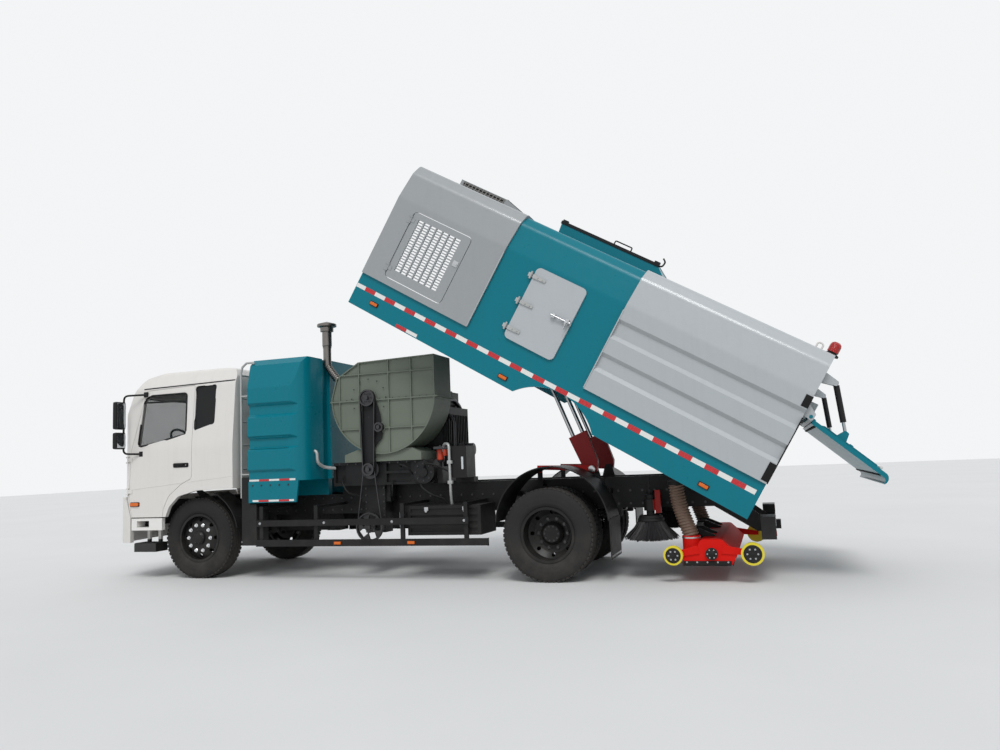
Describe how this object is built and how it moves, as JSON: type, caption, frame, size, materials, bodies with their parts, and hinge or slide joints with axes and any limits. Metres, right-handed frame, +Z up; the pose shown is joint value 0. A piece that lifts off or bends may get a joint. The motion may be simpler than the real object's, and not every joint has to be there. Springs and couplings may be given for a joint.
{
  "type": "suction street sweeper truck with tipping hopper",
  "caption": "Suction street sweeper truck with tilting cab, fan set behind the water tank, tipping hopper with open tailgate, side brushes and suction nozzle.",
  "frame": {"origin": "on the ground under the middle of the vehicle's box", "axes": "+X rearward, +Y to the vehicle's right, +Z up"},
  "size_m": [9.5199, 2.94, 4.9771],
  "materials": {
    "cab_white": "gloss",
    "teal": "gloss",
    "panel_grey": "gloss",
    "chassis_black": "satin",
    "fan_green": "satin",
    "signal_red": "gloss",
    "wheel_paint": "dusty satin",
    "tyre": "matt",
    "caster_yellow": "matt",
    "hose": "matt",
    "bristle": "matt",
    "black_plastic": "matt",
    "grey_plastic": "matt",
    "steel": "brushed",
    "iron": "rough",
    "glass": "clear",
    "lamp": "clear"
  },
  "bodies": {
    "chassis": {"frame_rails": "chassis_black", "subframe": "chassis_black", "front_axle": "iron", "rear_axle": "iron", "engine_block": "iron", "front_bumper": "cab_white", "headlamps": "lamp", "step_panels": "cab_white", "water_tank": "teal", "ladder": "chassis_black", "intake_duct": "grey_plastic", "precleaner_stack": "chassis_black", "fan_housing": "fan_green", "belt_drive": "chassis_black", "aux_engine": "iron", "side_tanks": "chassis_black", "side_guards": "chassis_black", "mudguards": "black_plastic", "rear_bumper": "chassis_black", "suction_hoses": "hose"},
    "cab": {"cab_shell": "cab_white", "cab_glass": "glass", "cab_trim": "black_plastic", "cab_interior": "grey_plastic"},
    "hopper": {"hopper_body": "teal", "hopper_hood": "panel_grey", "hopper_rear": "panel_grey"},
    "hatch": {"hatch": "teal"},
    "tailgate": {"tailgate": "panel_grey"},
    "tailgate_cylinders": {"tailgate_cylinders": "chassis_black"},
    "tailgate_rods": {"tailgate_rods": "steel"},
    "hoist_sleeves": {"hoist_sleeves": "signal_red"},
    "hoist_rods": {"hoist_rods": "steel"},
    "nozzle": {"nozzle": "signal_red"},
    "knuckle_left": {"knuckle_left": "iron"},
    "wheel_front_left": {"front_tyre_left": "tyre", "front_rim_left": "wheel_paint"},
    "wheel_rear_left": {"rear_tyres_left": "tyre", "rear_rims_left": "wheel_paint"},
    "door_left": {"door_left": "cab_white", "door_glass_left": "glass", "mirror_left": "black_plastic"},
    "louvre_door_left": {"louvre_door_left": "panel_grey"},
    "brush_arm_left": {"brush_arm_left": "signal_red"},
    "brush_left": {"brush_left": "bristle"},
    "caster_front_left": {"caster_front_left": "caster_yellow"},
    "caster_rear_left": {"caster_rear_left": "caster_yellow"},
    "knuckle_right": {"knuckle_right": "iron"},
    "wheel_front_right": {"front_tyre_right": "tyre", "front_rim_right": "wheel_paint"},
    "wheel_rear_right": {"rear_tyres_right": "tyre", "rear_rims_right": "wheel_paint"},
    "door_right": {"door_right": "cab_white", "door_glass_right": "glass", "mirror_right": "black_plastic"},
    "louvre_door_right": {"louvre_door_right": "panel_grey"},
    "brush_arm_right": {"brush_arm_right": "signal_red"},
    "brush_right": {"brush_right": "bristle"},
    "caster_front_right": {"caster_front_right": "caster_yellow"},
    "caster_rear_right": {"caster_rear_right": "caster_yellow"}
  },
  "joints": [
    {"name": "cab_tilt", "type": "hinge", "parent": "chassis", "child": "cab", "pos_m": [-4.615, 0, 1.11], "axis": [0, -1, 0], "range_deg": [0, 45]},
    {"name": "steer_left", "type": "hinge", "parent": "chassis", "child": "knuckle_left", "pos_m": [-3.41, -0.79, 0.515], "axis": [0, 0, 1], "range_deg": [-38, 38]},
    {"name": "front_wheel_spin_left", "type": "hinge", "parent": "knuckle_left", "child": "wheel_front_left", "pos_m": [-3.41, -0.967, 0.515], "axis": [0, 1, 0], "continuous": true},
    {"name": "rear_wheel_spin_left", "type": "hinge", "parent": "chassis", "child": "wheel_rear_left", "pos_m": [1.29, -0.892, 0.515], "axis": [0, 1, 0], "continuous": true},
    {"name": "door_left", "type": "hinge", "parent": "cab", "child": "door_left", "pos_m": [-4.455, -1.203, 1.35], "axis": [0, 0, -1], "range_deg": [0, 70]},
    {"name": "steer_right", "type": "hinge", "parent": "chassis", "child": "knuckle_right", "pos_m": [-3.41, 0.79, 0.515], "axis": [0, 0, 1], "range_deg": [-38, 38]},
    {"name": "front_wheel_spin_right", "type": "hinge", "parent": "knuckle_right", "child": "wheel_front_right", "pos_m": [-3.41, 0.967, 0.515], "axis": [0, 1, 0], "continuous": true},
    {"name": "rear_wheel_spin_right", "type": "hinge", "parent": "chassis", "child": "wheel_rear_right", "pos_m": [1.29, 0.892, 0.515], "axis": [0, 1, 0], "continuous": true},
    {"name": "door_right", "type": "hinge", "parent": "cab", "child": "door_right", "pos_m": [-4.455, 1.203, 1.35], "axis": [0, 0, 1], "range_deg": [0, 70]},
    {"name": "hopper_lift", "type": "hinge", "parent": "chassis", "child": "hopper", "pos_m": [2.99, 0, 1.065], "axis": [0, 1, 0], "range_deg": [-31, 10]},
    {"name": "hoist_swing", "type": "hinge", "parent": "chassis", "child": "hoist_sleeves", "pos_m": [1.7, 0, 1.215], "axis": [0, 1, 0], "range_deg": [-64, 21]},
    {"name": "hoist_reach", "type": "slide", "parent": "hoist_sleeves", "child": "hoist_rods", "axis": [-0.3631, 0, 0.9317], "range_m": [-0.38, 0.13]},
    {"name": "tailgate_close", "type": "hinge", "parent": "hopper", "child": "tailgate", "pos_m": [4.0974, 0, 1.6654], "axis": [0, 1, 0], "range_deg": [0, 79]},
    {"name": "tailgate_cylinder_swing", "type": "hinge", "parent": "hopper", "child": "tailgate_cylinders", "pos_m": [4.36515, 0, 1.99451], "axis": [0, 1, 0], "range_deg": [-1, 37]},
    {"name": "tailgate_cylinder_reach", "type": "slide", "parent": "tailgate_cylinders", "child": "tailgate_rods", "axis": [0.0967, 0, -0.9953], "range_m": [-0.005, 0.27]},
    {"name": "hatch_swing", "type": "hinge", "parent": "hopper", "child": "hatch", "pos_m": [1.1254, -1.251, 3.13617], "axis": [-0.515, 0, -0.8572], "range_deg": [0, 110]},
    {"name": "louvre_door_left", "type": "hinge", "parent": "hopper", "child": "louvre_door_left", "pos_m": [-0.35751, -1.251, 3.99803], "axis": [-0.515, 0, -0.8572], "range_deg": [0, 100]},
    {"name": "brush_reach_left", "type": "slide", "parent": "chassis", "child": "brush_arm_left", "axis": [0, -1, 0], "range_m": [0, 0.3]},
    {"name": "brush_spin_left", "type": "hinge", "parent": "brush_arm_left", "child": "brush_left", "pos_m": [2.38, -0.77, 0.69], "axis": [0, 0, 1], "continuous": true},
    {"name": "louvre_door_right", "type": "hinge", "parent": "hopper", "child": "louvre_door_right", "pos_m": [-0.35751, 1.251, 3.99803], "axis": [0.515, 0, 0.8572], "range_deg": [0, 100]},
    {"name": "brush_reach_right", "type": "slide", "parent": "chassis", "child": "brush_arm_right", "axis": [0, 1, 0], "range_m": [0, 0.3]},
    {"name": "brush_spin_right", "type": "hinge", "parent": "brush_arm_right", "child": "brush_right", "pos_m": [2.38, 0.77, 0.69], "axis": [0, 0, 1], "continuous": true},
    {"name": "nozzle_lift", "type": "slide", "parent": "chassis", "child": "nozzle", "axis": [0, 0, 1], "range_m": [-0.17, 0], "deforming": ["suction_hoses"]},
    {"name": "caster_front_spin_left", "type": "hinge", "parent": "nozzle", "child": "caster_front_left", "pos_m": [2.64, -1.118, 0.29], "axis": [0, 1, 0], "continuous": true},
    {"name": "caster_front_spin_right", "type": "hinge", "parent": "nozzle", "child": "caster_front_right", "pos_m": [2.64, 1.118, 0.29], "axis": [0, 1, 0], "continuous": true},
    {"name": "caster_rear_spin_left", "type": "hinge", "parent": "nozzle", "child": "caster_rear_left", "pos_m": [3.44, -1.118, 0.305], "axis": [0, 1, 0], "continuous": true},
    {"name": "caster_rear_spin_right", "type": "hinge", "parent": "nozzle", "child": "caster_rear_right", "pos_m": [3.44, 1.118, 0.305], "axis": [0, 1, 0], "continuous": true}
  ],
  "couplings": [
    {"joint": "steer_right", "follows": "steer_left", "ratio": 1},
    {"joint": "hoist_swing", "follows": "hopper_lift", "ratio": 2.0404},
    {"joint": "hoist_reach", "follows": "hopper_lift", "m_per_rad": 0.67679},
    {"joint": "tailgate_cylinder_swing", "follows": "tailgate_close", "ratio": 0.44871},
    {"joint": "tailgate_cylinder_reach", "follows": "tailgate_close", "m_per_rad": 0.19108}
  ]
}
